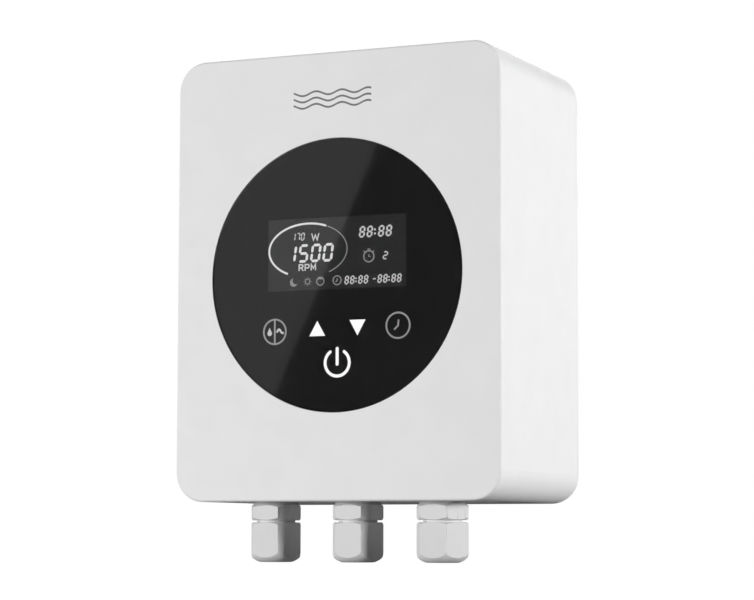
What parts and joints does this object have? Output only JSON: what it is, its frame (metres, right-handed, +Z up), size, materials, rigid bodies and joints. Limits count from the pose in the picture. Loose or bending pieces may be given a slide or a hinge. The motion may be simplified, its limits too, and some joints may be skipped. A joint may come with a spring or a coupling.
{
  "type": "pump speed controller",
  "caption": "Wall-hung motor speed controller in a white box with a round black touch display and cable glands below, for a pool pump.",
  "frame": {"origin": "centre of the wall bracket's four screw holes, on the wall plane", "axes": "+Z up, +Y into the wall, +X to the right as seen from the front; the display faces -Y"},
  "size_m": [0.161, 0.112, 0.2314],
  "materials": {
    "housing_white": "satin",
    "cover_white": "satin",
    "seal_rubber": "matte",
    "screw_steel": "satin",
    "brass_insert": "satin",
    "black_glass": "gloss",
    "adhesive_foam": "matte",
    "lcd_glass": "gloss",
    "light_guide": "satin",
    "black_plastic": "matte",
    "board_green": "satin",
    "chip_black": "matte",
    "spring_steel": "satin",
    "cell_steel": "polished",
    "sink_aluminium": "satin",
    "thermal_pad": "matte",
    "capacitor_sleeve": "satin",
    "capacitor_yellow": "satin",
    "ferrite": "matte",
    "copper_wire": "satin",
    "coil_tape": "satin",
    "relay_blue": "satin",
    "fuse_glass": "gloss",
    "terminal_green": "satin",
    "plug_white": "satin",
    "ribbon_grey": "satin",
    "zinc_sheet": "satin",
    "gland_nylon": "satin",
    "gasket_grey": "matte"
  },
  "bodies": {
    "wall_bracket": {"wall_bracket": "zinc_sheet"},
    "case": {"battery_holder": "black_plastic", "bridge_rectifier": "chip_black", "buzzer": "black_plastic", "choke_core": "ferrite", "choke_windings": "copper_wire", "clock_battery": "cell_steel", "control_board": "board_green", "control_chips": "chip_black", "control_screws": "screw_steel", "cover_inserts": "brass_insert", "cover_screws": "screw_steel", "cover_seal": "seal_rubber", "dc_capacitors": "capacitor_sleeve", "filter_capacitors": "capacitor_yellow", "front_cover": "cover_white", "fuse_clips": "brass_insert", "fuse_link": "fuse_glass", "gland_body_1": "gland_nylon", "gland_body_2": "gland_nylon", "gland_body_3": "gland_nylon", "gland_gasket_1": "gasket_grey", "gland_gasket_2": "gasket_grey", "gland_gasket_3": "gasket_grey", "gland_locknut_1": "gland_nylon", "gland_locknut_2": "gland_nylon", "gland_locknut_3": "gland_nylon", "glass_adhesive": "adhesive_foam", "hanging_studs": "screw_steel", "heat_sink": "sink_aluminium", "heat_sink_screws": "screw_steel", "heat_sink_seal": "seal_rubber", "lcd_backlight": "light_guide", "lcd_frame": "black_plastic", "lcd_panel": "lcd_glass", "main_housing": "housing_white", "mains_terminals": "terminal_green", "motor_terminals": "terminal_green", "pfc_coil": "coil_tape", "pfc_core": "ferrite", "power_board": "board_green", "power_board_screws": "screw_steel", "power_module": "chip_black", "relay": "relay_blue", "ribbon_cable": "ribbon_grey", "ribbon_plugs": "plug_white", "signal_terminals": "terminal_green", "terminal_screws": "screw_steel", "thermal_pads": "thermal_pad", "touch_glass": "black_glass", "touch_springs": "spring_steel"},
    "gland_insert_1": {"gland_cage_1": "gland_nylon", "gland_seal_1": "seal_rubber"},
    "gland_nut_1": {"gland_nut_1": "gland_nylon"},
    "gland_insert_2": {"gland_cage_2": "gland_nylon", "gland_seal_2": "seal_rubber"},
    "gland_nut_2": {"gland_nut_2": "gland_nylon"},
    "gland_insert_3": {"gland_cage_3": "gland_nylon", "gland_seal_3": "seal_rubber"},
    "gland_nut_3": {"gland_nut_3": "gland_nylon"}
  },
  "joints": [
    {"name": "case_lift", "type": "slide", "parent": "wall_bracket", "child": "case", "axis": [0, 0, 1], "range_m": [0, 0.012]},
    {"name": "gland_travel_1", "type": "slide", "parent": "case", "child": "gland_insert_1", "axis": [0, 0, -1], "range_m": [0, 0.0076]},
    {"name": "gland_turn_1", "type": "hinge", "parent": "gland_insert_1", "child": "gland_nut_1", "pos_m": [-0.0418, -0.086, -0.122], "axis": [0, 0, -1], "range_deg": [0, 1800]},
    {"name": "gland_travel_2", "type": "slide", "parent": "case", "child": "gland_insert_2", "axis": [0, 0, -1], "range_m": [0, 0.0076]},
    {"name": "gland_turn_2", "type": "hinge", "parent": "gland_insert_2", "child": "gland_nut_2", "pos_m": [0, -0.086, -0.122], "axis": [0, 0, -1], "range_deg": [0, 1800]},
    {"name": "gland_travel_3", "type": "slide", "parent": "case", "child": "gland_insert_3", "axis": [0, 0, -1], "range_m": [0, 0.0076]},
    {"name": "gland_turn_3", "type": "hinge", "parent": "gland_insert_3", "child": "gland_nut_3", "pos_m": [0.0418, -0.086, -0.122], "axis": [0, 0, -1], "range_deg": [0, 1800]}
  ],
  "couplings": [
    {"joint": "gland_travel_1", "follows": "gland_turn_1", "m_per_rad": 0.00023873},
    {"joint": "gland_travel_2", "follows": "gland_turn_2", "m_per_rad": 0.00023873},
    {"joint": "gland_travel_3", "follows": "gland_turn_3", "m_per_rad": 0.00023873}
  ]
}
